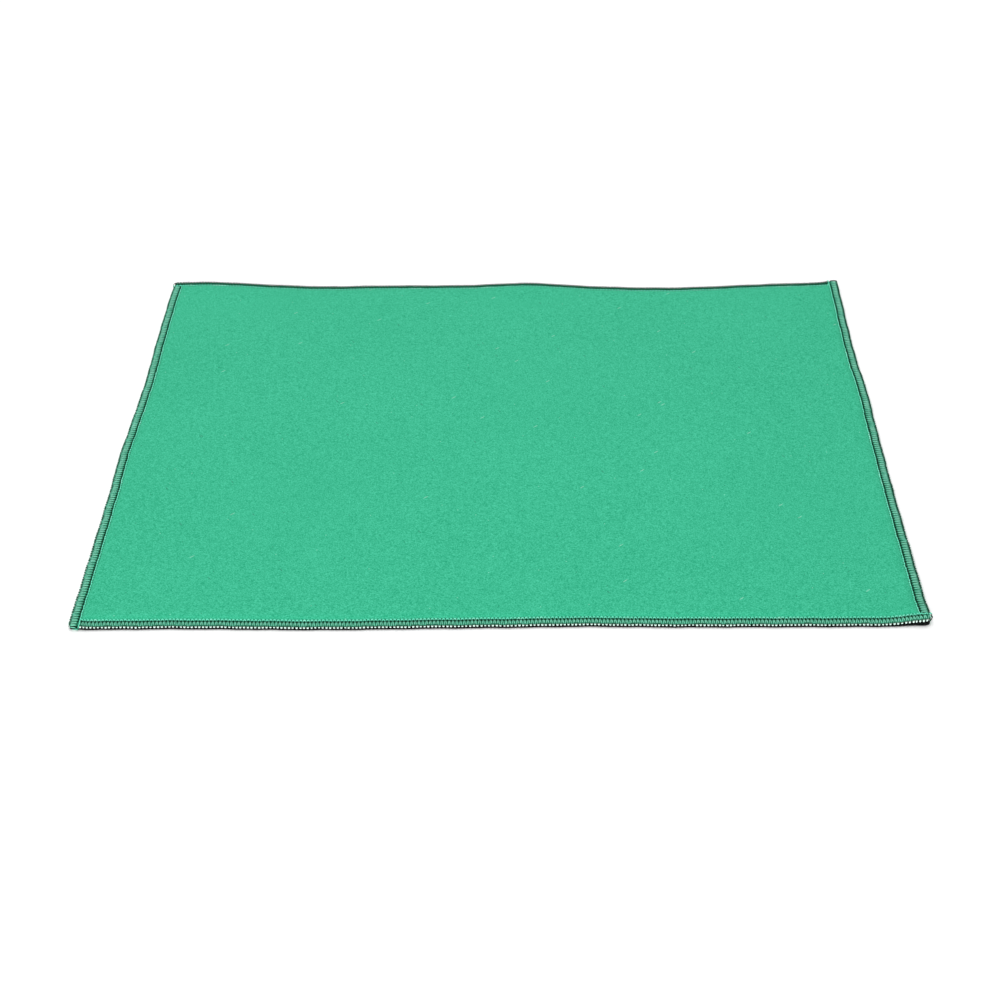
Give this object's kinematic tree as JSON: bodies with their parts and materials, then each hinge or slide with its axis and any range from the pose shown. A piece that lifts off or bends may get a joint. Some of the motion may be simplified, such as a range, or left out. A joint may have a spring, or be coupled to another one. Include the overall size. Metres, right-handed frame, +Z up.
{
  "type": "flat dice and card mat",
  "caption": "Flat rectangular padded table mat for dice and cards: green brushed cloth over a black foam core and rubber base skin, bound all round with an overlock-stitched edge.",
  "frame": {"origin": "on the table top under the middle of the mat: centre of the bounding box in X and Y, z = 0 at the underside", "axes": "+X along the long side to the right, +Y from the front edge to the back edge, +Z up out of the playing face"},
  "size_m": [0.42, 0.32, 0.003],
  "materials": {
    "playing_cloth": "matte brushed nap",
    "foam_rubber": "matte closed-cell foam",
    "grip_rubber": "matte embossed",
    "looper_thread": "soft textured polyester thread",
    "needle_thread": "tight polyester thread"
  },
  "bodies": {
    "root": {"base_skin": "grip_rubber", "foam_core": "foam_rubber", "playing_cloth": "playing_cloth", "front_needle_thread": "needle_thread", "right_needle_thread": "needle_thread", "back_needle_thread": "needle_thread", "left_needle_thread": "needle_thread", "front_upper_looper_thread": "looper_thread", "right_upper_looper_thread": "looper_thread", "back_upper_looper_thread": "looper_thread", "left_upper_looper_thread": "looper_thread", "front_lower_looper_thread": "looper_thread", "right_lower_looper_thread": "looper_thread", "back_lower_looper_thread": "looper_thread", "left_lower_looper_thread": "looper_thread"}
  },
  "joints": []
}
